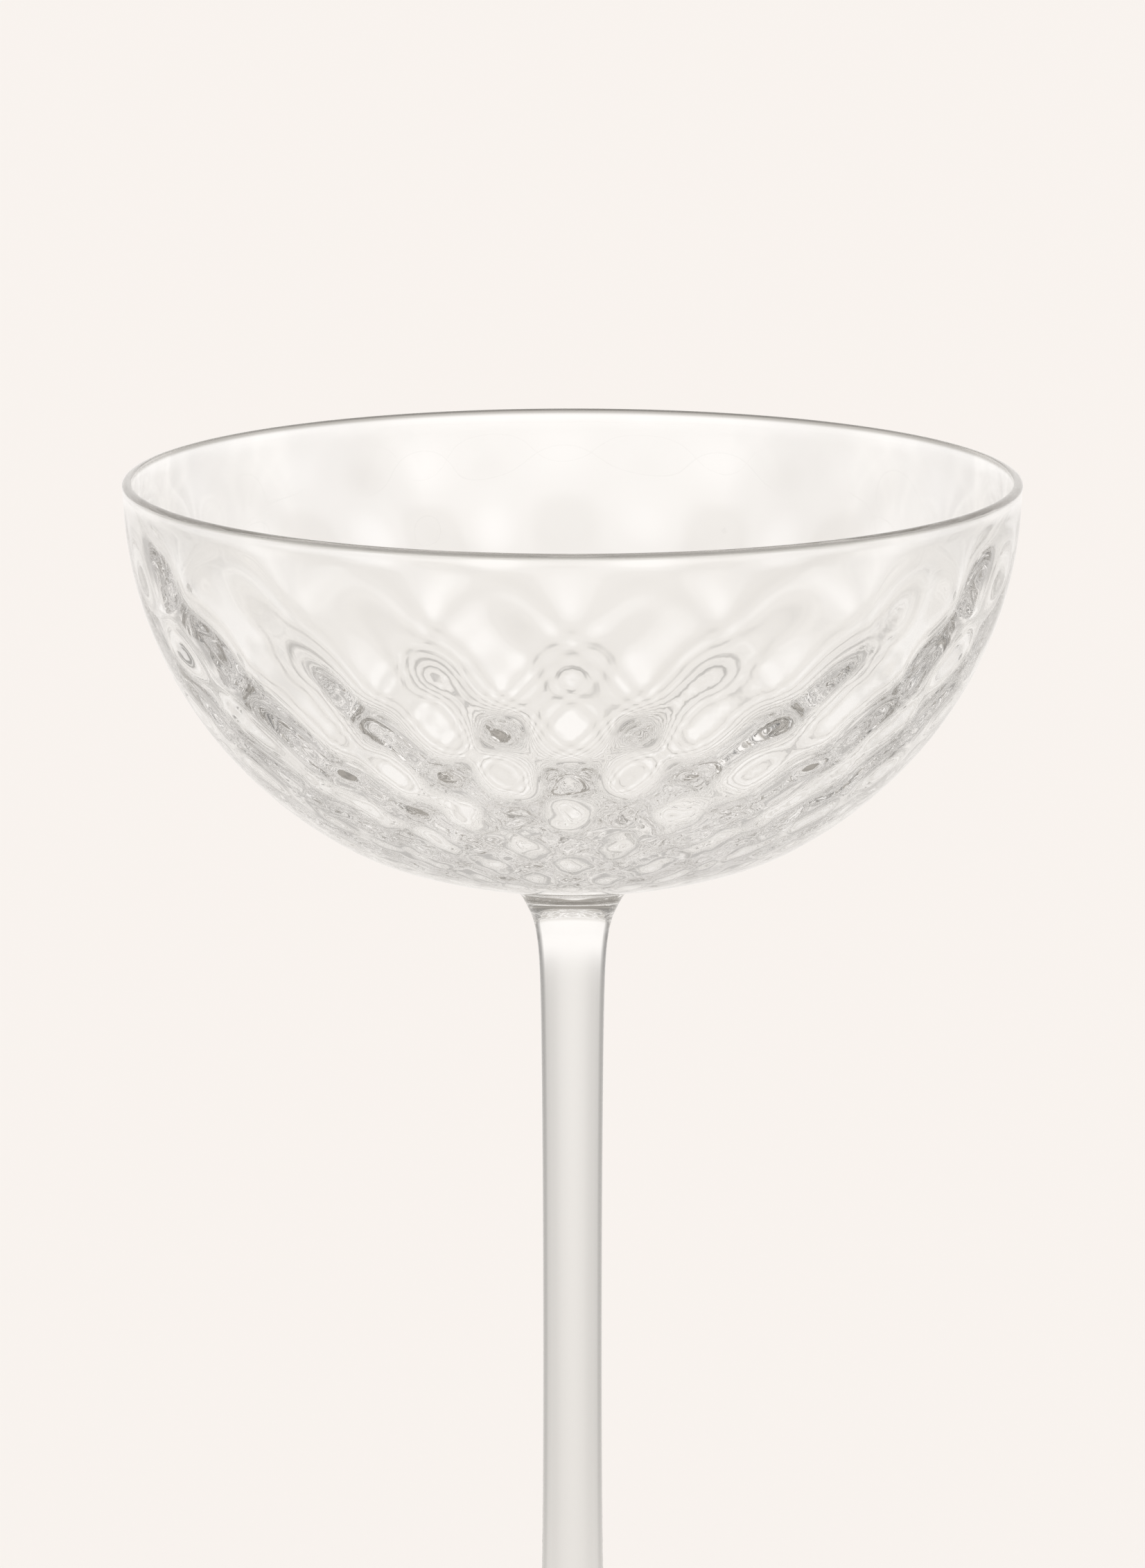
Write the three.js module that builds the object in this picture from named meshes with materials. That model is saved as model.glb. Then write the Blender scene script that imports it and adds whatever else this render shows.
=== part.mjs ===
// A champagne coupe in clear glass, in millimetres, +Z up, standing on z = 0 with its axis on Z.
// It is made hot from three gathers of glass, and each is its own solid here: a bowl blown in a
// diamond-optic mould, a drawn stem and a spun foot. They meet face to face on flat, fused seats.

import * as THREE from "three";

// Overall
const OVERALL_HEIGHT = 150;

// Bowl
const RIM_DIAMETER = 105;
const RIM_WALL = 1.05;
const RIM_LIP = 0.1; // how far the fire-polished lip stands proud of the wall
const BOWL_DEPTH = 49; // from the middle of the lip down to the lowest point of the wall's ellipse
const BASE_FLATTEN = 1; // how far the underside is pressed up from that ellipse
const BASE_FLAT_RADIUS = 12; // the underside is pressed up in full inside this
const BASE_ROUND_RADIUS = 28; // and not at all outside this
const BASE_WALL = 5.6; // thickness of the floor, in the middle
const BOWL_SEAT_DIAMETER = 10.3; // where the stem is fused on
const BOWL_SEAT_DROP = 2.46; // how far that seat lies below the bowl's floor
const BOWL_SEAT_BLEND = 3.6; // how far out from the seat the fillet into the floor reaches
const FILLET_CLIMB = 0.55; // share of the seat's drop that the fillet climbs before it turns out
const FILLET_LEAN = 0.2; // share of the blend that it leans out by on that climb
const FILLET_TURN = 0.3; // share of the blend at which it has turned into the floor

// Diamond optic pressed into the inside of the wall
const OPTIC_COLUMNS = 18;
const OPTIC_RELIEF = 0.7; // height of a lens above the mean wall, at most
const OPTIC_ROW_PITCH = 0.194; // distance between rows of lenses, as a share of the radius there
const OPTIC_FIRST_ROW = 1.775; // the first row's place below the lip, in row pitches
const OPTIC_FADE_DEPTH = 17; // depth below the lip over which the relief grows
const OPTIC_FULL_RADIUS = 40; // a lens nearer to the axis than this is lower
const OPTIC_SHRINK = 1.2; // power of the radius that its height then falls with
const OPTIC_END_RADIUS = 4.5; // the relief stops where the floor narrows to this

// Stem
const STEM_DIAMETER = 6.8; // the diameter that the stem dies away to from both ends
const STEM_TAPER = 0.58; // radius gained slowly towards each end
const STEM_TAPER_REACH_UP = 22; // length over which the taper dies away below the bowl
const STEM_TAPER_REACH_DOWN = 14; // and above the foot
const STEM_FLARE_REACH = 2.4; // length over which the flare into each seat dies away

// Foot
const FOOT_DIAMETER = 72;
const FOOT_EDGE = 2; // thickness of the rounded edge
const FOOT_HEIGHT = 6.5; // from the table to the seat of the stem
const FOOT_SEAT_DIAMETER = 10.3;
const FOOT_FLARE_REACH = 3.4;
const FOOT_REST_WIDTH = 7; // flat ring under the edge that the glass stands on
const FOOT_HOLLOW = 1; // how far the middle of the underside is lifted off the table

// Facets
const BOWL_SEGMENTS = 4 * OPTIC_COLUMNS;
const RINGS_PER_ROW = 2;
const OUTER_RINGS = 15;
const LIP_RINGS = 4;
const FILLET_RINGS = 5;
const STEM_SEGMENTS = 2 * OPTIC_COLUMNS;
const STEM_RINGS = 18;
const FOOT_SEGMENTS = 3 * OPTIC_COLUMNS;
const FOOT_TOP_RINGS = 9;
const FOOT_EDGE_RINGS = 4;
const FOOT_HOLLOW_RINGS = 4;

// Heights of the levels where the pieces meet
const LIP_RADIUS = (RIM_WALL + RIM_LIP) / 2;
const LIP_Z = OVERALL_HEIGHT - LIP_RADIUS;
const FLOOR_Z = LIP_Z - BOWL_DEPTH + BASE_FLATTEN;
const BOWL_SEAT_Z = FLOOR_Z - BOWL_SEAT_DROP;

const point = (radius, z) => new THREE.Vector2(radius, z);
const steps = (count, make) => Array.from({ length: count + 1 }, (_, i) => make(i / count));

// Each side of the wall is a half-ellipse: t runs from 0 at the lip to a quarter turn on the axis.
// The outside is pressed up a little round the middle.
const OUTER_RADIUS = RIM_DIAMETER / 2 - RIM_LIP;
const INNER_RADIUS = OUTER_RADIUS - RIM_WALL;
const INNER_DEPTH = LIP_Z - FLOOR_Z - BASE_WALL;
const innerWall = (t) => point(INNER_RADIUS * Math.max(Math.cos(t), 0), LIP_Z - INNER_DEPTH * Math.sin(t));

function outerWall(t) {
  const radius = OUTER_RADIUS * Math.max(Math.cos(t), 0);
  const round = THREE.MathUtils.smoothstep(radius, BASE_FLAT_RADIUS, BASE_ROUND_RADIUS);
  return point(radius, LIP_Z - BOWL_DEPTH * Math.sin(t) + BASE_FLATTEN * (1 - round));
}

// The unit tangent down a wall, and the distance travelled for each unit of t.
function travel(wall, t) {
  const DELTA = 1e-4;
  const along = wall(t + DELTA).sub(wall(Math.max(t - DELTA, 0)));
  const span = t < DELTA ? t + DELTA : 2 * DELTA;
  return { speed: along.length() / span, tangent: along.normalize() };
}

// The t that lies a number of rows further down. A row is a fixed share of the radius where it lies,
// so the diamonds keep their shape as the bowl narrows.
function rowsDown(wall, t, rows) {
  const share = rows * OPTIC_ROW_PITCH;
  const half = t + (share / 2) * (wall(t).x / travel(wall, t).speed);
  return t + share * (wall(half).x / travel(wall, half).speed);
}

// The height of a lens: it grows below the lip, falls with the radius and dies away on the floor.
function lensHeight(at) {
  const grown = THREE.MathUtils.smoothstep(LIP_Z - at.y, 0, OPTIC_FADE_DEPTH);
  const shrunk = Math.min(at.x / OPTIC_FULL_RADIUS, 1) ** OPTIC_SHRINK;
  const died = THREE.MathUtils.smoothstep(at.x, OPTIC_END_RADIUS, 2 * OPTIC_END_RADIUS);
  return OPTIC_RELIEF * grown * shrunk * died;
}

// Rings of the inner wall from the lip to the end of the optic, each with its row's wave of relief.
function opticRings() {
  const between = 1 / RINGS_PER_ROW;
  const rings = [];
  let row = OPTIC_FIRST_ROW % between;
  let t = rowsDown(innerWall, 0, row);
  while (innerWall(t).x > OPTIC_END_RADIUS) {
    const at = innerWall(t);
    const { tangent } = travel(innerWall, t);
    const wave = Math.cos(Math.PI * (row - OPTIC_FIRST_ROW));
    rings.push({ at, inward: point(tangent.y, -tangent.x), relief: lensHeight(at) * wave });
    t = rowsDown(innerWall, t, between);
    row += between;
  }
  return rings;
}

// The bowl's closed section, from the middle of the seat round the outside and the lip to the inner floor.
function bowlSection() {
  const seatRadius = BOWL_SEAT_DIAMETER / 2;
  const blendRadius = seatRadius + BOWL_SEAT_BLEND;
  const blendStart = Math.acos(blendRadius / OUTER_RADIUS);
  const onFloor = outerWall(blendStart);
  const { tangent } = travel(outerWall, blendStart);
  const turnBack = (1 - FILLET_TURN) * BOWL_SEAT_BLEND;
  const fillet = new THREE.CubicBezierCurve(
    point(seatRadius, BOWL_SEAT_Z),
    point(seatRadius + FILLET_LEAN * BOWL_SEAT_BLEND, BOWL_SEAT_Z + FILLET_CLIMB * BOWL_SEAT_DROP),
    point(blendRadius - turnBack, onFloor.y - (turnBack * tangent.y) / tangent.x),
    onFloor,
  );
  const lipCentre = OUTER_RADIUS + RIM_LIP - LIP_RADIUS;
  const overLip = (share) => {
    const turn = Math.PI * share;
    return point(lipCentre + LIP_RADIUS * Math.cos(turn), LIP_Z + LIP_RADIUS * Math.sin(turn));
  };
  const plain = [
    point(0, BOWL_SEAT_Z),
    ...fillet.getPoints(FILLET_RINGS),
    ...steps(OUTER_RINGS, (share) => outerWall(blendStart * (1 - share))).slice(1, -1),
    ...steps(LIP_RINGS, overLip),
  ];
  return [...plain.map((at) => ({ at })), ...opticRings(), { at: innerWall(Math.PI / 2) }];
}

// A solid of revolution about Z. A ring with relief swells inwards in a lens at each column and
// hollows between them, and the next row is staggered by its wave's sign. Turn 0 faces -Y. Each
// facet is cut along the diagonal with the flatter ends, so that a lens has four even sides.
function revolve(section, segments) {
  const geometry = new THREE.LatheGeometry(
    section.map((ring) => ring.at),
    segments,
  );
  const position = geometry.getAttribute("position");
  const swells = new Array(position.count).fill(0);
  for (let i = 0; i < position.count; i++) {
    const { at, inward, relief } = section[i % section.length];
    if (!relief) continue;
    const turn = (2 * Math.PI * Math.floor(i / section.length)) / segments;
    swells[i] = relief * Math.cos(OPTIC_COLUMNS * turn);
    const radius = at.x + swells[i] * inward.x;
    position.setXYZ(i, radius * Math.sin(turn), at.y + swells[i] * inward.y, radius * Math.cos(turn));
  }
  const corners = geometry.getIndex().array;
  const height = (...ends) => ends.reduce((sum, end) => sum + Math.abs(swells[end]), 0);
  for (let i = 0; i < corners.length; i += 6) {
    const [a, b, d, c] = corners.slice(i, i + 4);
    if (height(a, c) < height(b, d)) corners.set([a, b, c, a, c, d], i);
  }
  geometry.rotateX(Math.PI / 2);
  geometry.computeVertexNormals();
  return geometry;
}

// The drawn stem: a slim rod that tapers slowly from each end and flares quickly into each seat. Both
// die away exponentially, to nothing at the other end.
function stemSection() {
  const slim = STEM_DIAMETER / 2;
  const length = BOWL_SEAT_Z - FOOT_HEIGHT;
  const dieAway = (distance, reach) => {
    const far = Math.exp(-length / reach);
    return (Math.exp(-distance / reach) - far) / (1 - far);
  };
  const widening = (seatDiameter, taperReach, distance) => {
    const flare = seatDiameter / 2 - slim - STEM_TAPER;
    return STEM_TAPER * dieAway(distance, taperReach) + flare * dieAway(distance, STEM_FLARE_REACH);
  };
  const rod = steps(STEM_RINGS, (share) => {
    const up = (length * (1 - Math.cos(Math.PI * share))) / 2;
    const fromFoot = widening(FOOT_SEAT_DIAMETER, STEM_TAPER_REACH_DOWN, up);
    const fromBowl = widening(BOWL_SEAT_DIAMETER, STEM_TAPER_REACH_UP, length - up);
    return point(slim + fromFoot + fromBowl, FOOT_HEIGHT + up);
  });
  return [point(0, FOOT_HEIGHT), ...rod, point(0, BOWL_SEAT_Z)].map((at) => ({ at }));
}

// The spun foot: a thin disc that rises in a flare to the stem, hollow under its middle.
function footSection() {
  const seatRadius = FOOT_SEAT_DIAMETER / 2;
  const edgeRadius = FOOT_EDGE / 2;
  const edgeCentre = FOOT_DIAMETER / 2 - edgeRadius;
  const hollowRadius = edgeCentre - FOOT_REST_WIDTH;
  const spread = edgeCentre - seatRadius;
  const dieAway = (distance) => 1 / (1 + distance / FOOT_FLARE_REACH);
  const rise = (FOOT_HEIGHT - FOOT_EDGE) / (1 - dieAway(spread));
  const hollow = steps(FOOT_HOLLOW_RINGS, (share) =>
    point(hollowRadius * share, FOOT_HOLLOW * (1 - share * share) ** 2),
  );
  const edge = steps(FOOT_EDGE_RINGS, (share) => {
    const turn = Math.PI * (share - 0.5);
    return point(edgeCentre + edgeRadius * Math.cos(turn), edgeRadius * (1 + Math.sin(turn)));
  });
  const top = steps(FOOT_TOP_RINGS, (share) => {
    const distance = spread * (1 - share) ** 2;
    return point(seatRadius + distance, FOOT_EDGE + rise * (dieAway(distance) - dieAway(spread)));
  });
  return [...hollow, ...edge, ...top.slice(1), point(0, FOOT_HEIGHT)].map((at) => ({ at }));
}

// Clear soda-lime glass, a touch cooler in the thin bowl than in the solid stem and foot.
const THIN_GLASS = 0xf3f3f2;
const SOLID_GLASS = 0xe9e6e1;
const GLASS_ROUGHNESS = 0.03;
const GLASS_OPACITY = 0.35;

function piece(name, section, segments, colour) {
  const material = new THREE.MeshStandardMaterial({
    color: colour,
    roughness: GLASS_ROUGHNESS,
    metalness: 0,
    transparent: true,
    opacity: GLASS_OPACITY,
  });
  const mesh = new THREE.Mesh(revolve(section, segments), material);
  mesh.name = name;
  return mesh;
}

const coupe = new THREE.Group();
coupe.add(piece("bowl", bowlSection(), BOWL_SEGMENTS, THIN_GLASS));
coupe.add(piece("stem", stemSection(), STEM_SEGMENTS, SOLID_GLASS));
coupe.add(piece("foot", footSection(), FOOT_SEGMENTS, SOLID_GLASS));

export default coupe;
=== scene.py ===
import math

import bpy
import numpy as np
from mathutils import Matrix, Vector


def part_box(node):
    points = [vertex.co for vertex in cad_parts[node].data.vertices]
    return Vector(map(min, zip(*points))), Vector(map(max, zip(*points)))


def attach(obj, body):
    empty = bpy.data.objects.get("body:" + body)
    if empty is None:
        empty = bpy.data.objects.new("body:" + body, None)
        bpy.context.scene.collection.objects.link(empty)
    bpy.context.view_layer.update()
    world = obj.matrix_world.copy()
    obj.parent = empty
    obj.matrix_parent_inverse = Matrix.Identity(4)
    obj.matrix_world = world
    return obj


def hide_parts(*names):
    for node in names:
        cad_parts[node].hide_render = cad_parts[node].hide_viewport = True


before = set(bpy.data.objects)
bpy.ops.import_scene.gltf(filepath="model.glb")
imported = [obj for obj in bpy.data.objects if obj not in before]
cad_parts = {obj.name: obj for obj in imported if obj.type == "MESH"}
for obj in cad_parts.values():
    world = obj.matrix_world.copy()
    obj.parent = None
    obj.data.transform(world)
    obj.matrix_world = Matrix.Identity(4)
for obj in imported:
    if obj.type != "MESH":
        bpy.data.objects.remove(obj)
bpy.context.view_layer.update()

# Bowl. A wide half-round cup of clear soda-lime glass, blown in a diamond-optic mould that leaves soft
# lenses inside the wall. Its rim is cracked off and fire-polished to a round lip, and its floor is a
# thick button of glass, pressed a little flat outside, that the stem is fused under.

bowl_low, bowl_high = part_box("bowl")
RIM_WALL = 0.00105
LIP_PROUD = 0.0001
LIP_CROWN = 0.00055
LIP_INNER_ROUND = 0.00025
LIP_NECK = 0.001
BOWL_DEPTH = 0.049
BASE_FLATTEN = 0.001
BASE_FLAT_RADIUS = 0.012
BASE_ROUND_RADIUS = 0.028
BASE_WALL = 0.0056
BOWL_SEAT_RADIUS = 0.00515
BOWL_SEAT_BLEND = 0.0036
FILLET_CLIMB = 0.55
FILLET_LEAN = 0.2
FILLET_TURN = 0.3

OPTIC_COLUMNS = 18
OPTIC_RELIEF = 0.0007
OPTIC_ROW_PITCH = 0.194
OPTIC_FIRST_ROW = 1.775
OPTIC_FADE_DEPTH = 0.017
OPTIC_FULL_RADIUS = 0.040
OPTIC_SHRINK = 1.2
OPTIC_END_RADIUS = 0.0045

WANDER_TURN = 0.012
WANDER_ROW = 0.06
WANDER_RELIEF = 0.12
WANDER_WAVES = 12
WANDER_FEWEST = 3
WANDER_MOST = 10
WANDER_SEEDS = (1, 2, 3)
WRINKLE_SLOPE = 0.08
WRINKLE_START = 0.024
WRINKLE_FULL = 0.034
WRINKLE_WAVES = 40
WRINKLE_FEWEST = 35
WRINKLE_MOST = 75
WRINKLE_SEED = 4

POINTS_PER_COLUMN = 20
RINGS_PER_ROW = 10
OUTER_RINGS = 60
LIP_RINGS = 17
NECK_RINGS = 8
FILLET_RINGS = 14
FLOOR_RINGS = 6
FINE_STEPS = 20000
POLE_GAP = 0.001
CREASE_ANGLE = math.radians(40)
SEAT_DIP = 0.0001

LIP_HEIGHT = bowl_high.z - (RIM_WALL + LIP_PROUD) / 2
OUTER_RADIUS = bowl_high.x - LIP_PROUD
INNER_RADIUS = OUTER_RADIUS - RIM_WALL
INNER_DEPTH = BOWL_DEPTH - BASE_FLATTEN - BASE_WALL
NEARLY_A_QUARTER = math.pi / 2 - POLE_GAP
BOWL_AROUND = POINTS_PER_COLUMN * OPTIC_COLUMNS


def smooth_step(share):
    """0 below 0, 1 above 1, and 3 s squared less 2 s cubed between."""
    share = np.clip(share, 0, 1)
    return share * share * (3 - 2 * share)


def inner_section(turn):
    """A half-ellipse: the inner radius times cos of the turn, and the inner depth times its sin."""
    return INNER_RADIUS * np.cos(turn), LIP_HEIGHT - INNER_DEPTH * np.sin(turn)


def outer_section(turn):
    """A half-ellipse like the inner one, pressed up round the middle by a smooth step of the radius."""
    across = OUTER_RADIUS * np.cos(turn)
    round_part = smooth_step((across - BASE_FLAT_RADIUS) / (BASE_ROUND_RADIUS - BASE_FLAT_RADIUS))
    return across, LIP_HEIGHT - BOWL_DEPTH * np.sin(turn) + BASE_FLATTEN * (1 - round_part)


def fillet_section(points, count):
    """A cubic Bezier curve: the four points blended by the third-power weights of each share."""
    share = np.linspace(0, 1, count)
    left = 1 - share
    weights = np.stack([left**3, 3 * left**2 * share, 3 * left * share**2, share**3], 1)
    return (weights @ np.array(points)).T


def turned_piece(name, radius, height, around, fused_low, fused_high, inward=None, swell=None):
    """Carries a section round Z. A point is its radius times sin and minus cos of the turn, at its
    height, moved along the section's inward normal by its swell where there is one. The first and
    last rings are closed by a fan to the axis. Where a fan is fused to the next piece it takes the
    second material and dips into its own piece, so that the two never lie in one plane."""
    turn = np.linspace(0, 2 * np.pi, around, endpoint=False)
    ring_radius = np.repeat(radius[:, None], around, 1)
    ring_height = np.repeat(height[:, None], around, 1)
    if swell is not None:
        ring_swell = swell(turn)
        ring_radius = ring_radius + ring_swell * inward[0][:, None]
        ring_height = ring_height + ring_swell * inward[1][:, None]
    grid = np.stack([ring_radius * np.sin(turn), -ring_radius * np.cos(turn), ring_height], 2)
    low_hub = height[0] + SEAT_DIP * fused_low
    high_hub = height[-1] - SEAT_DIP * fused_high
    hubs = [[0, 0, low_hub], [0, 0, high_hub]]
    points = np.concatenate([grid.reshape(-1, 3), hubs])
    rings = len(radius)
    index = np.arange(rings * around).reshape(rings, around)
    beside = np.roll(index, -1, 1)
    quads = np.stack([index[:-1], beside[:-1], beside[1:], index[1:]], 2).reshape(-1, 4)
    hub = np.full(around, rings * around)
    first_fan = np.stack([hub, beside[0], index[0]], 1)
    last_fan = np.stack([hub + 1, index[-1], beside[-1]], 1)
    mesh = bpy.data.meshes.new(name)
    mesh.from_pydata(points.tolist(), [], first_fan.tolist() + quads.tolist() + last_fan.tolist())
    finish = np.zeros(len(mesh.polygons), int)
    finish[:around] = int(fused_low)
    finish[-around:] = int(fused_high)
    mesh.polygons.foreach_set("material_index", finish)
    mesh.polygons.foreach_set("use_smooth", np.ones(len(mesh.polygons), bool))
    mesh.set_sharp_from_angle(angle=CREASE_ANGLE)
    mesh.update()
    piece = bpy.data.objects.new(name, mesh)
    bpy.context.scene.collection.objects.link(piece)
    return piece


# The fillet from the seat out to the floor.
blend_radius = BOWL_SEAT_RADIUS + BOWL_SEAT_BLEND
blend_turn = math.acos(blend_radius / OUTER_RADIUS)
blend_height = outer_section(blend_turn)[1]
blend_slope = BOWL_DEPTH / OUTER_RADIUS / math.tan(blend_turn)
turn_back = (1 - FILLET_TURN) * BOWL_SEAT_BLEND
seat_drop = LIP_HEIGHT - BOWL_DEPTH + BASE_FLATTEN - bowl_low.z
fillet = fillet_section(
    [
        (BOWL_SEAT_RADIUS, bowl_low.z),
        (BOWL_SEAT_RADIUS + FILLET_LEAN * BOWL_SEAT_BLEND, bowl_low.z + FILLET_CLIMB * seat_drop),
        (blend_radius - turn_back, blend_height - turn_back * blend_slope),
        (blend_radius, blend_height),
    ],
    FILLET_RINGS,
)

# The outer wall, a short neck that swells into the lip, and the lip as two quarters of an ellipse.
ridge_height = bowl_high.z - LIP_CROWN
neck_turn = math.asin((LIP_HEIGHT - ridge_height + LIP_NECK) / BOWL_DEPTH)
outer = outer_section(np.linspace(blend_turn, neck_turn, OUTER_RINGS)[1:])
neck_share = np.linspace(0, 1, NECK_RINGS)[1:-1]
neck = (
    OUTER_RADIUS + LIP_PROUD * smooth_step(neck_share),
    ridge_height - LIP_NECK * (1 - neck_share),
)
lip_turn = np.linspace(0, np.pi, LIP_RINGS)
crown_radius = INNER_RADIUS + LIP_INNER_ROUND
lip_reach = np.where(lip_turn < np.pi / 2, OUTER_RADIUS + LIP_PROUD - crown_radius, LIP_INNER_ROUND)
lip = (
    crown_radius + lip_reach * np.cos(lip_turn),
    ridge_height + LIP_CROWN * np.sin(lip_turn),
)

# The lenses keep their shape as the bowl narrows, so their rows are even in distance over radius.
fine_turn = np.linspace(0, NEARLY_A_QUARTER, FINE_STEPS)
fine_radius, fine_height = inner_section(fine_turn)
fine_step = np.hypot(np.diff(fine_radius), np.diff(fine_height))
middle_radius = (fine_radius[1:] + fine_radius[:-1]) / 2
fine_rows = np.concatenate([[0], np.cumsum(fine_step / middle_radius)]) / OPTIC_ROW_PITCH
rows_in_all = np.interp(-OPTIC_END_RADIUS, -fine_radius, fine_rows)
wall_row = np.arange(1, int(rows_in_all * RINGS_PER_ROW)) / RINGS_PER_ROW
wall_turn = np.interp(wall_row, fine_rows, fine_turn)
floor_turn = np.linspace(wall_turn[-1], NEARLY_A_QUARTER, FLOOR_RINGS)[1:]
inner_turn = np.concatenate([wall_turn, floor_turn])
row = np.concatenate([wall_row, np.interp(floor_turn, fine_turn, fine_rows)])
inner = inner_section(inner_turn)

bowl_radius = np.concatenate([fillet[0], outer[0], neck[0], lip[0], inner[0]])
bowl_height = np.concatenate([fillet[1], outer[1], neck[1], lip[1], inner[1]])
along = np.gradient(bowl_radius), np.gradient(bowl_height)
length = np.hypot(*along)
inward = along[1] / length, -along[0] / length
plain_rings = len(bowl_radius) - len(row)

# The relief grows evenly below the lip, falls with the radius and dies away on the floor.
inner_depth = LIP_HEIGHT - inner[1]
grown = np.minimum(inner_depth / OPTIC_FADE_DEPTH, 1)
died = smooth_step((inner[0] - OPTIC_END_RADIUS) / OPTIC_END_RADIUS)
shrunk = np.minimum(inner[0] / OPTIC_FULL_RADIUS, 1) ** OPTIC_SHRINK
relief = OPTIC_RELIEF * grown * died * shrunk
wrinkled = smooth_step((inner_depth - WRINKLE_START) / (WRINKLE_FULL - WRINKLE_START)) * died
wrinkles_round = (WRINKLE_FEWEST + WRINKLE_MOST) / 2
wrinkle_height = WRINKLE_SLOPE * wrinkled * inner[0] / wrinkles_round


def ripples(turn, count, fewest, most, seed):
    """A steady sum of cosine waves in seeded directions over the turn and the rows, as high on average
    as 1. Each has a whole number of waves round the bowl, so that the ends of the turn meet."""
    draw = np.random.default_rng(seed)
    heading = draw.uniform(0, 2 * np.pi, count)[:, None, None]
    waves = draw.uniform(fewest, most, count)[:, None, None]
    phase = draw.uniform(0, 2 * np.pi, count)[:, None, None]
    round_bowl = np.round(waves * np.cos(heading)) * turn
    down_wall = waves * np.sin(heading) * OPTIC_ROW_PITCH * row[:, None]
    return np.cos(round_bowl + down_wall + phase).sum(0) * math.sqrt(2 / count)


def optic_swell(turn):
    """Lenses in a diamond pattern: each ring's relief times the cosine of columns times the turn and
    the cosine of its row in half turns. Both places and the relief wander a little, and low in the
    bowl, where the glass cooled last, finer wrinkles are added."""
    drift = [ripples(turn, WANDER_WAVES, WANDER_FEWEST, WANDER_MOST, seed) for seed in WANDER_SEEDS]
    column = OPTIC_COLUMNS * (turn + WANDER_TURN * drift[0])
    line = np.pi * (row[:, None] - OPTIC_FIRST_ROW + WANDER_ROW * drift[1])
    lens = relief[:, None] * (1 + WANDER_RELIEF * drift[2]) * np.cos(column) * np.cos(line)
    fine = ripples(turn, WRINKLE_WAVES, WRINKLE_FEWEST, WRINKLE_MOST, WRINKLE_SEED)
    return np.concatenate([np.zeros((plain_rings, len(turn))), lens + wrinkle_height[:, None] * fine])


bowl = turned_piece(
    "bowl_glass", bowl_radius, bowl_height, BOWL_AROUND, True, False, inward, optic_swell
)
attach(bowl, "root")
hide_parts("bowl")

GLASS_IOR = 1.5
SAME_IOR = 1.0
BOWL_CLEAR = (0.995, 0.995, 0.99)
BOWL_STREAK = (0.975, 0.973, 0.965)
BOWL_STREAK_GRAIN = (60, 60, 25)
BOWL_WAVE_GRAIN = 70
BOWL_WAVE_HEIGHT = 0.00002
# Painted shade: a dark grey painted into the glass's colour in a band just below the rim.
LIP_PAINTED_SHADE = (0.5, 0.49, 0.47)
LIP_PAINTED_SHADE_DEPTH = 0.0008
LIP_PAINTED_SHADE_FULL = 0.0003
SMUDGE_GRAIN = 90
SMUDGE_DETAIL = 4
SMUDGE_FROM = 0.5
SMUDGE_TO = 0.8
SMUDGE_ROUGHNESS = 0.012
STREAK_FROM = 0.45
STREAK_TO = 0.75


def add_socket(group, name, way, kind):
    """Adds one named socket to a node group's face."""
    return group.interface.new_socket(name, in_out=way, socket_type=kind)


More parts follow.
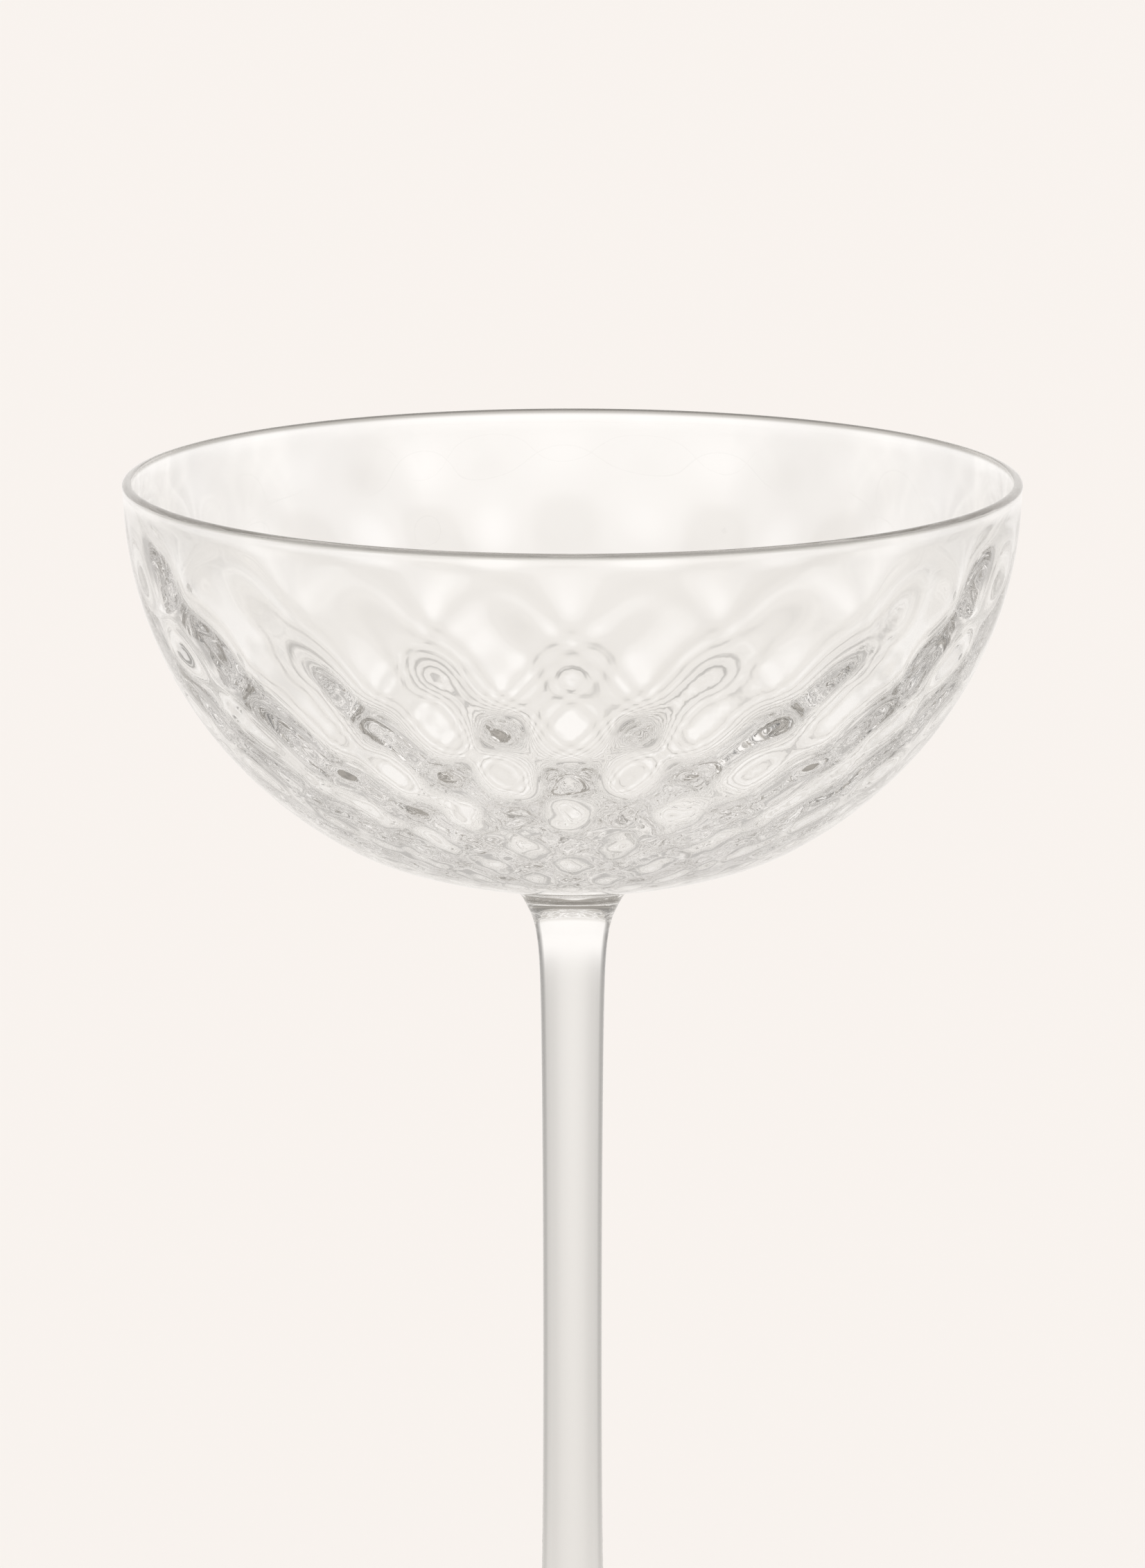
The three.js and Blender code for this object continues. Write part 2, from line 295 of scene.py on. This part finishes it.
def hot_worked_glass():
    """The surface that the three hot-worked pieces share. Colour: clear glass with faint streaks where
    stretched noise is high, then the painted shade mixed in by its share. Roughness: nought but for
    faint
    smudges of cloudy noise. Wave: slow noise, the height of the swells left by blowing and drawing."""
    group = bpy.data.node_groups.new("hot_worked_glass", "ShaderNodeTree")
    for name in ("Clear", "Streak", "Tint"):
        add_socket(group, name, "INPUT", "NodeSocketColor")
    add_socket(group, "Painted Shade Share", "INPUT", "NodeSocketFloat")
    add_socket(group, "Streak Grain", "INPUT", "NodeSocketVector")
    add_socket(group, "Wave Grain", "INPUT", "NodeSocketFloat")
    add_socket(group, "Colour", "OUTPUT", "NodeSocketColor")
    add_socket(group, "Roughness", "OUTPUT", "NodeSocketFloat")
    add_socket(group, "Wave", "OUTPUT", "NodeSocketFloat")
    nodes = group.nodes
    given = nodes.new("NodeGroupInput")
    result = nodes.new("NodeGroupOutput")
    place = nodes.new("ShaderNodeTexCoord")

    stretch = nodes.new("ShaderNodeVectorMath")
    stretch.operation = "MULTIPLY"
    streaks = nodes.new("ShaderNodeTexNoise")
    streaks.inputs["Scale"].default_value = 1
    streak_share = nodes.new("ShaderNodeMapRange")
    streak_share.interpolation_type = "SMOOTHSTEP"
    streak_share.inputs["From Min"].default_value = STREAK_FROM
    streak_share.inputs["From Max"].default_value = STREAK_TO
    streaked = nodes.new("ShaderNodeMixRGB")
    # The painted shade is mixed over the streaked glass by its share.
    painted_shade_mix = nodes.new("ShaderNodeMixRGB")
    group.links.new(place.outputs["Object"], stretch.inputs[0])
    group.links.new(given.outputs["Streak Grain"], stretch.inputs[1])
    group.links.new(stretch.outputs["Vector"], streaks.inputs["Vector"])
    group.links.new(streaks.outputs["Fac"], streak_share.inputs["Value"])
    group.links.new(streak_share.outputs["Result"], streaked.inputs["Fac"])
    group.links.new(given.outputs["Clear"], streaked.inputs["Color1"])
    group.links.new(given.outputs["Streak"], streaked.inputs["Color2"])
    group.links.new(given.outputs["Painted Shade Share"], painted_shade_mix.inputs["Fac"])
    group.links.new(streaked.outputs["Color"], painted_shade_mix.inputs["Color1"])
    group.links.new(given.outputs["Tint"], painted_shade_mix.inputs["Color2"])
    group.links.new(painted_shade_mix.outputs["Color"], result.inputs["Colour"])

    smudges = nodes.new("ShaderNodeTexNoise")
    smudges.inputs["Scale"].default_value = SMUDGE_GRAIN
    smudges.inputs["Detail"].default_value = SMUDGE_DETAIL
    dulled = nodes.new("ShaderNodeMapRange")
    dulled.interpolation_type = "SMOOTHSTEP"
    dulled.inputs["From Min"].default_value = SMUDGE_FROM
    dulled.inputs["From Max"].default_value = SMUDGE_TO
    dulled.inputs["To Max"].default_value = SMUDGE_ROUGHNESS
    group.links.new(place.outputs["Object"], smudges.inputs["Vector"])
    group.links.new(smudges.outputs["Fac"], dulled.inputs["Value"])
    group.links.new(dulled.outputs["Result"], result.inputs["Roughness"])

    swells = nodes.new("ShaderNodeTexNoise")
    swells.inputs["Detail"].default_value = 0
    group.links.new(place.outputs["Object"], swells.inputs["Vector"])
    group.links.new(given.outputs["Wave Grain"], swells.inputs["Scale"])
    group.links.new(swells.outputs["Fac"], result.inputs["Wave"])
    return group


glass_surface = hot_worked_glass()


def clear_glass(name, clear, streak, painted_shade, streak_grain, wave_grain, wave_height):
    """Clear glass with the shared surface in it. Gives back the material and its surface node."""
    material = bpy.data.materials.new(name)
    material.use_nodes = True
    nodes = material.node_tree.nodes
    links = material.node_tree.links
    shader = nodes["Principled BSDF"]
    shader.inputs["IOR"].default_value = GLASS_IOR
    shader.inputs["Transmission Weight"].default_value = 1
    surface = nodes.new("ShaderNodeGroup")
    surface.node_tree = glass_surface
    surface.inputs["Clear"].default_value = (*clear, 1)
    surface.inputs["Streak"].default_value = (*streak, 1)
    surface.inputs["Tint"].default_value = (*painted_shade, 1)
    surface.inputs["Streak Grain"].default_value = streak_grain
    surface.inputs["Wave Grain"].default_value = wave_grain
    bump = nodes.new("ShaderNodeBump")
    bump.inputs["Distance"].default_value = wave_height
    links.new(surface.outputs["Colour"], shader.inputs["Base Color"])
    links.new(surface.outputs["Roughness"], shader.inputs["Roughness"])
    links.new(surface.outputs["Wave"], bump.inputs["Height"])
    links.new(bump.outputs["Normal"], shader.inputs["Normal"])
    return material, surface


def painted_shade_from_height(material, surface, none_at, full_at):
    """The painted shade's share: a smooth step of the height from where there is none to where it is
    full.
    """
    nodes = material.node_tree.nodes
    links = material.node_tree.links
    place = nodes.new("ShaderNodeTexCoord")
    split = nodes.new("ShaderNodeSeparateXYZ")
    share = nodes.new("ShaderNodeMapRange")
    share.interpolation_type = "SMOOTHSTEP"
    share.inputs["From Min"].default_value = none_at
    share.inputs["From Max"].default_value = full_at
    links.new(place.outputs["Object"], split.inputs["Vector"])
    links.new(split.outputs["Z"], share.inputs["Value"])
    links.new(share.outputs["Result"], surface.inputs["Painted Shade Share"])


# Along the lip one looks down the length of the wall, through far more glass, so it looks darker there.
# That dark band is painted shade: a grey mixed into the glass's colour just below the rim.
bowl_glass, bowl_surface = clear_glass(
    "bowl_clear_glass",
    BOWL_CLEAR,
    BOWL_STREAK,
    LIP_PAINTED_SHADE,
    BOWL_STREAK_GRAIN,
    BOWL_WAVE_GRAIN,
    BOWL_WAVE_HEIGHT,
)
painted_shade_from_height(bowl_glass, bowl_surface, bowl_high.z - LIP_PAINTED_SHADE_DEPTH, bowl_high.z - LIP_PAINTED_SHADE_FULL)

# Melted glass has no surface left inside it, so light crosses a fused seat as if it weren't there.
fused_seat = bpy.data.materials.new("fused_seat")
fused_seat.use_nodes = True
seat_shader = fused_seat.node_tree.nodes["Principled BSDF"]
seat_shader.inputs["Base Color"].default_value = (1, 1, 1, 1)
seat_shader.inputs["Roughness"].default_value = 0
seat_shader.inputs["IOR"].default_value = SAME_IOR
seat_shader.inputs["Transmission Weight"].default_value = 1

bowl.data.materials.append(bowl_glass)
bowl.data.materials.append(fused_seat)

# Stem. A slim solid rod, drawn by hand from a gather of the same glass that is melted on under the
# bowl. It tapers slowly from each end and flares quickly into both fused seats, and drawing has left
# faint streaks along it. Its colour is left clear at the top and painted a little grey down the rod:
# painted shade, which leaves the clear top standing out as a highlight.

stem_low, stem_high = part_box("stem")
STEM_RADIUS = 0.0034
STEM_TAPER = 0.00058
STEM_TAPER_REACH_UP = 0.022
STEM_TAPER_REACH_DOWN = 0.014
STEM_FLARE_REACH = 0.0024
STEM_SEAT_RADIUS = BOWL_SEAT_RADIUS
STEM_AROUND = 180
STEM_RINGS = 120
STEM_CLEAR = (0.985, 0.983, 0.975)
STEM_STREAK = (0.965, 0.962, 0.95)
# Painted shade: grey painted into the rod's colour below its clear top, so that the top reads as a
# highlight.
STEM_PAINTED_SHADE = (0.865, 0.862, 0.85)
STEM_HIGHLIGHT_TO = 0.0022
STEM_PAINTED_SHADE_FROM = 0.0085
STEM_STREAK_GRAIN = (500, 500, 20)
STEM_WAVE_GRAIN = 45
STEM_WAVE_HEIGHT = 0.00002

stem_length = stem_high.z - stem_low.z


def fade_out(distance, reach):
    """Falls exponentially over the reach, scaled to be 1 at its own end and 0 at the other."""
    far = math.exp(-stem_length / reach)
    return (np.exp(-distance / reach) - far) / (1 - far)


def widening(distance, taper_reach):
    """The extra radius near an end: a slow taper and a quick flare, both fading out."""
    flare = STEM_SEAT_RADIUS - STEM_RADIUS - STEM_TAPER
    return STEM_TAPER * fade_out(distance, taper_reach) + flare * fade_out(distance, STEM_FLARE_REACH)


# Rings lie closer together towards both ends, where the radius changes fastest.
up = stem_length * (1 - np.cos(np.linspace(0, np.pi, STEM_RINGS))) / 2
low_widening = widening(up, STEM_TAPER_REACH_DOWN)
high_widening = widening(stem_length - up, STEM_TAPER_REACH_UP)
stem_radius = STEM_RADIUS + low_widening + high_widening
stem = turned_piece("stem_glass", stem_radius, stem_low.z + up, STEM_AROUND, True, True)
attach(stem, "root")
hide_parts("stem")

stem_glass, stem_surface = clear_glass(
    "stem_clear_glass",
    STEM_CLEAR,
    STEM_STREAK,
    STEM_PAINTED_SHADE,
    STEM_STREAK_GRAIN,
    STEM_WAVE_GRAIN,
    STEM_WAVE_HEIGHT,
)
painted_shade_from_height(stem_glass, stem_surface, stem_high.z - STEM_HIGHLIGHT_TO, stem_high.z - STEM_PAINTED_SHADE_FROM)
stem.data.materials.append(stem_glass)
stem.data.materials.append(fused_seat)

# Foot. A thin disc of the same glass, spun out hot from a third gather that is melted on to the stem's
# lower end. It rises in a flare to its fused seat, has a fire-polished round edge, and is hollow under
# its middle, so that the glass stands on a flat ring.

foot_low, foot_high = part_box("foot")
FOOT_EDGE = 0.002
FOOT_SEAT_RADIUS = STEM_SEAT_RADIUS
FOOT_FLARE_REACH = 0.0034
FOOT_REST_WIDTH = 0.007
FOOT_HOLLOW = 0.001
FOOT_AROUND = 192
FOOT_HOLLOW_RINGS = 16
FOOT_HOLLOW_HUB = 0.02
FOOT_EDGE_RINGS = 14
FOOT_TOP_RINGS = 50
FOOT_CLEAR = (0.985, 0.983, 0.975)
FOOT_STREAK = (0.965, 0.962, 0.95)
# Painted shade: a grey ring painted into the glass's colour at the foot's round edge.
FOOT_EDGE_PAINTED_SHADE = (0.88, 0.875, 0.855)
FOOT_PAINTED_SHADE_WIDTH = 0.0025
FOOT_STREAK_GRAIN = (80, 80, 80)
FOOT_WAVE_GRAIN = 60
FOOT_WAVE_HEIGHT = 0.00003

edge_radius = FOOT_EDGE / 2
edge_centre = foot_high.y - edge_radius
hollow_radius = edge_centre - FOOT_REST_WIDTH
spread = edge_centre - FOOT_SEAT_RADIUS


def die_away(distance):
    """One over one plus the distance in reaches."""
    return 1 / (1 + distance / FOOT_FLARE_REACH)


# The hollow is a squared bowl, the edge a half circle, and the top falls away from the seat.
rise = (foot_high.z - foot_low.z - FOOT_EDGE) / (1 - die_away(spread))
hollow_share = np.linspace(FOOT_HOLLOW_HUB, 1, FOOT_HOLLOW_RINGS)
edge_turn = np.linspace(-np.pi / 2, np.pi / 2, FOOT_EDGE_RINGS)
top_distance = spread * (1 - np.linspace(0, 1, FOOT_TOP_RINGS)[1:]) ** 2
foot_radius = np.concatenate([
    hollow_radius * hollow_share,
    edge_centre + edge_radius * np.cos(edge_turn),
    FOOT_SEAT_RADIUS + top_distance,
])
foot_height = np.concatenate([
    FOOT_HOLLOW * (1 - hollow_share**2) ** 2,
    edge_radius * (1 + np.sin(edge_turn)),
    FOOT_EDGE + rise * (die_away(top_distance) - die_away(spread)),
])
foot = turned_piece(
    "foot_glass", foot_radius, foot_low.z + foot_height, FOOT_AROUND, False, True
)
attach(foot, "root")
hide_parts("foot")


def painted_shade_from_radius(material, surface, none_at, full_at):
    """The painted shade's share: a smooth step of the distance from the axis, which is the length of
    the place with its height left out."""
    nodes = material.node_tree.nodes
    links = material.node_tree.links
    place = nodes.new("ShaderNodeTexCoord")
    flat = nodes.new("ShaderNodeVectorMath")
    flat.operation = "MULTIPLY"
    flat.inputs[1].default_value = (1, 1, 0)
    outward = nodes.new("ShaderNodeVectorMath")
    outward.operation = "LENGTH"
    share = nodes.new("ShaderNodeMapRange")
    share.interpolation_type = "SMOOTHSTEP"
    share.inputs["From Min"].default_value = none_at
    share.inputs["From Max"].default_value = full_at
    links.new(place.outputs["Object"], flat.inputs[0])
    links.new(flat.outputs["Vector"], outward.inputs[0])
    links.new(outward.outputs["Value"], share.inputs["Value"])
    links.new(share.outputs["Result"], surface.inputs["Painted Shade Share"])


# Looking in through the round edge one sees far more glass, so it looks darker there. That is painted
# shade: a grey ring mixed into the glass's colour at the edge.
foot_glass, foot_surface = clear_glass(
    "foot_clear_glass",
    FOOT_CLEAR,
    FOOT_STREAK,
    FOOT_EDGE_PAINTED_SHADE,
    FOOT_STREAK_GRAIN,
    FOOT_WAVE_GRAIN,
    FOOT_WAVE_HEIGHT,
)
painted_shade_from_radius(foot_glass, foot_surface, foot_high.y - FOOT_PAINTED_SHADE_WIDTH, foot_high.y)
foot.data.materials.append(foot_glass)
foot.data.materials.append(fused_seat)

# Floor. A plain pale sheet of matt paper, far wider than the picture, that the glass stands on. Part of
# what the camera sees is the paper's own even paleness, and the rest is the light that falls on it, so
# that the glass keeps its shadow. The glass itself looks through to the studio.

PALE = (0.947, 0.896, 0.855)
FLOOR_RADIUS = 8.0
FLOOR_AROUND = 96
FLOOR_EVEN_SHARE = 0.6

floor_way = np.linspace(0, 2 * np.pi, FLOOR_AROUND, endpoint=False)
floor_points = FLOOR_RADIUS * np.stack([np.cos(floor_way), np.sin(floor_way), 0 * floor_way], 1)
floor_mesh = bpy.data.meshes.new("studio_floor")
floor_mesh.from_pydata(floor_points.tolist(), [], [list(range(FLOOR_AROUND))])
floor = bpy.data.objects.new("studio_floor", floor_mesh)
bpy.context.scene.collection.objects.link(floor)
floor.visible_transmission = False
floor.visible_glossy = False

floor_paper = bpy.data.materials.new("floor_paper")
floor_paper.use_nodes = True
paper_nodes = floor_paper.node_tree.nodes
paper_links = floor_paper.node_tree.links
paper_nodes.clear()
paper_output = paper_nodes.new("ShaderNodeOutputMaterial")
matt = paper_nodes.new("ShaderNodeBsdfDiffuse")
matt.inputs["Color"].default_value = (*PALE, 1)
even = paper_nodes.new("ShaderNodeEmission")
even.inputs["Color"].default_value = (*PALE, 1)
paper_rays = paper_nodes.new("ShaderNodeLightPath")
even_share = paper_nodes.new("ShaderNodeMath")
even_share.operation = "MULTIPLY"
even_share.inputs[1].default_value = FLOOR_EVEN_SHARE
paper = paper_nodes.new("ShaderNodeMixShader")
paper_links.new(paper_rays.outputs["Is Camera Ray"], even_share.inputs[0])
paper_links.new(even_share.outputs["Value"], paper.inputs["Fac"])
paper_links.new(matt.outputs["BSDF"], paper.inputs[1])
paper_links.new(even.outputs["Emission"], paper.inputs[2])
paper_links.new(paper.outputs["Shader"], paper_output.inputs["Surface"])
floor_mesh.materials.append(floor_paper)

# Light. A bright-field studio, the usual one for clear glass: a pale backdrop all round, a dim ceiling,
# two tall dark cards at each side that draw the glass's edges, and a grey cloth laid behind it. A broad
# lamp high at the back lights the floor, and throws the glass's shadow towards the viewer.

# Each stop is the height of a direction, the sine of its angle above the horizon, and the level there.
STUDIO_LEVELS = (
    (-1.0, 0.92),
    (-0.45, 0.88),
    (-0.25, 0.92),
    (-0.19, 0.97),
    (-0.09, 1.05),
    (0.22, 1.05),
    (0.34, 0.86),
    (0.56, 0.5),
    (0.8, 0.36),
    (1.0, 0.32),
)
CARD_DARKNESS = 0.9
CARD_TURNS = 4
CARD_EDGE = 0.8
CARD_FOOT = -0.4
CARD_FULL = -0.06
CORNER_DIMNESS = 0.24
CORNER_EDGE = 2
CORNER_LOW = -0.34
CORNER_HIGH = -0.06
CORNER_LEVEL = -0.19
CLOTH_DARKNESS = 0.42
CLOTH_NEAR = 0.25
CLOTH_FAR = 0.6
CLOTH_EDGE = -0.39
CLOTH_FULL = -0.66
GREEN_LOW = 0.908
GREEN_GAIN = 0.06
BLUE_LOW = 0.78
BLUE_GAIN = 0.16
LAMP_STRENGTH = 2.5
LAMP_COLOUR = (0.896, 0.945, 1.0)
LAMP_TILT = math.radians(-35)
LAMP_SPREAD = math.radians(40)
GLASS_BOUNCES = 128

world = bpy.data.worlds.new("studio")
world.use_nodes = True
bpy.context.scene.world = world
world_nodes = world.node_tree.nodes
world_links = world.node_tree.links
world_nodes.clear()
world_output = world_nodes.new("ShaderNodeOutputWorld")
direction = world_nodes.new("ShaderNodeTexCoord")
toward = world_nodes.new("ShaderNodeSeparateXYZ")
world_links.new(direction.outputs["Generated"], toward.inputs["Vector"])

# The levels, from straight down to straight up. Green and blue are shares of the level that grow with
# it, so the darker levels are a little warmer.
climb = world_nodes.new("ShaderNodeMapRange")
climb.inputs["From Min"].default_value = -1
ramp = world_nodes.new("ShaderNodeValToRGB")
ramp.color_ramp.interpolation = "EASE"
for sine, level in STUDIO_LEVELS[1:-1]:
    ramp.color_ramp.elements.new((sine + 1) / 2)
for stop, (sine, level) in zip(ramp.color_ramp.elements, STUDIO_LEVELS):
    green = level * (GREEN_LOW + GREEN_GAIN * level)
    blue = level * (BLUE_LOW + BLUE_GAIN * level)
    stop.color = (level, green, blue, 1)
world_links.new(toward.outputs["Z"], climb.inputs["Value"])
world_links.new(climb.outputs["Result"], ramp.inputs["Fac"])


def math_node(operation, *values):
    """A math node of the world, each value either a number or another node's output."""
    node = world_nodes.new("ShaderNodeMath")
    node.operation = operation
    for entry, value in zip(node.inputs, values):
        if isinstance(value, (int, float)):
            entry.default_value = value
        else:
            world_links.new(value, entry)
    return node.outputs["Value"]


def smooth_share(value, none_at, full_at):
    """A smooth step of a value from where it counts for nothing to where it counts in full."""
    node = world_nodes.new("ShaderNodeMapRange")
    node.interpolation_type = "SMOOTHSTEP"
    node.inputs["From Min"].default_value = none_at
    node.inputs["From Max"].default_value = full_at
    world_links.new(value, node.inputs["Value"])
    return node.outputs["Result"]


# The cards. The turn away from the line of view, up to a quarter turn, is taken four times, and a card
# stands where minus its sine is above nought, between an eighth of a turn and a quarter. A power shapes
# its edges. It fades out below the horizon, and with the square of the height towards straight up.
sideways = math_node("ABSOLUTE", toward.outputs["X"])
ahead = math_node("ABSOLUTE", toward.outputs["Y"])
away = math_node("ARCTAN2", sideways, ahead)
turned = math_node("MULTIPLY", away, -CARD_TURNS)
card = math_node("POWER", math_node("MAXIMUM", math_node("SINE", turned), 0), CARD_EDGE)
standing = smooth_share(toward.outputs["Z"], CARD_FOOT, CARD_FULL)
upright = math_node("ABSOLUTE", toward.outputs["Z"])
level_part = math_node("SUBTRACT", 1, math_node("POWER", upright, 2))
card_share = math_node("MULTIPLY", math_node("MULTIPLY", card, standing), level_part)
carded = math_node("SUBTRACT", 1, math_node("MULTIPLY", card_share, CARD_DARKNESS))

# The low corners, where the backdrop's four sides meet the table and each other, lie in soft shade. It
# is deepest midway between two sides, by a power of the sine of twice the turn, and in a low band.
corner_shade = math_node("POWER", math_node("SINE", math_node("MULTIPLY", away, 2)), CORNER_EDGE)
from_below = smooth_share(toward.outputs["Z"], CORNER_LOW, CORNER_LEVEL)
from_above = smooth_share(toward.outputs["Z"], CORNER_HIGH, CORNER_LEVEL)
corner_share = math_node("MULTIPLY", corner_shade, math_node("MULTIPLY", from_below, from_above))
cornered = math_node("SUBTRACT", 1, math_node("MULTIPLY", corner_share, CORNER_DIMNESS))

# A grey cloth on the table behind the glass, seen in the rays that the lenses bend far down.
behind = smooth_share(toward.outputs["Y"], CLOTH_NEAR, CLOTH_FAR)
below = smooth_share(toward.outputs["Z"], CLOTH_EDGE, CLOTH_FULL)
cloth = math_node("MULTIPLY", math_node("MULTIPLY", behind, below), CLOTH_DARKNESS)
sides = math_node("MULTIPLY", carded, cornered)
left_over = math_node("MULTIPLY", sides, math_node("SUBTRACT", 1, cloth))

studio = world_nodes.new("ShaderNodeBackground")
backdrop = world_nodes.new("ShaderNodeBackground")
backdrop.inputs["Color"].default_value = (*PALE, 1)
world_rays = world_nodes.new("ShaderNodeLightPath")
seen = world_nodes.new("ShaderNodeMixShader")
world_links.new(ramp.outputs["Color"], studio.inputs["Color"])
world_links.new(left_over, studio.inputs["Strength"])
world_links.new(world_rays.outputs["Is Camera Ray"], seen.inputs["Fac"])
world_links.new(studio.outputs["Background"], seen.inputs[1])
world_links.new(backdrop.outputs["Background"], seen.inputs[2])
world_links.new(seen.outputs["Shader"], world_output.inputs["Surface"])

lamp_data = bpy.data.lights.new("back_lamp", "SUN")
lamp_data.energy = LAMP_STRENGTH
lamp_data.color = LAMP_COLOUR
lamp_data.angle = LAMP_SPREAD
lamp = bpy.data.objects.new("back_lamp", lamp_data)
lamp.rotation_euler = (LAMP_TILT, 0, 0)
lamp.visible_glossy = False
lamp.visible_transmission = False
bpy.context.scene.collection.objects.link(lamp)

# Light is turned back many times in the thick floor of the bowl before it leaves.
bpy.context.scene.cycles.max_bounces = GLASS_BOUNCES
bpy.context.scene.cycles.transmission_bounces = GLASS_BOUNCES
bpy.context.scene.cycles.glossy_bounces = GLASS_BOUNCES

# Camera. A long lens one and a half metres away, looking a little down on the rim, aimed below the lip
# so that the picture's lower edge cuts the stem just above the foot.

CAMERA_DISTANCE = 1.5
CAMERA_PITCH = math.radians(10.79)
CAMERA_LENS = 294.2
CAMERA_SENSOR = 36
AIM_BELOW_LIP = 0.03565

camera_data = bpy.data.cameras.new("photo_camera")
camera_data.lens = CAMERA_LENS
camera_data.sensor_width = CAMERA_SENSOR
camera = bpy.data.objects.new("photo_camera", camera_data)
camera.location = (
    0,
    -CAMERA_DISTANCE * math.cos(CAMERA_PITCH),
    LIP_HEIGHT - AIM_BELOW_LIP + CAMERA_DISTANCE * math.sin(CAMERA_PITCH),
)
camera.rotation_euler = (math.pi / 2 - CAMERA_PITCH, 0, 0)
bpy.context.scene.collection.objects.link(camera)
bpy.context.scene.camera = camera
bpy.context.scene.view_settings.view_transform = "Standard"
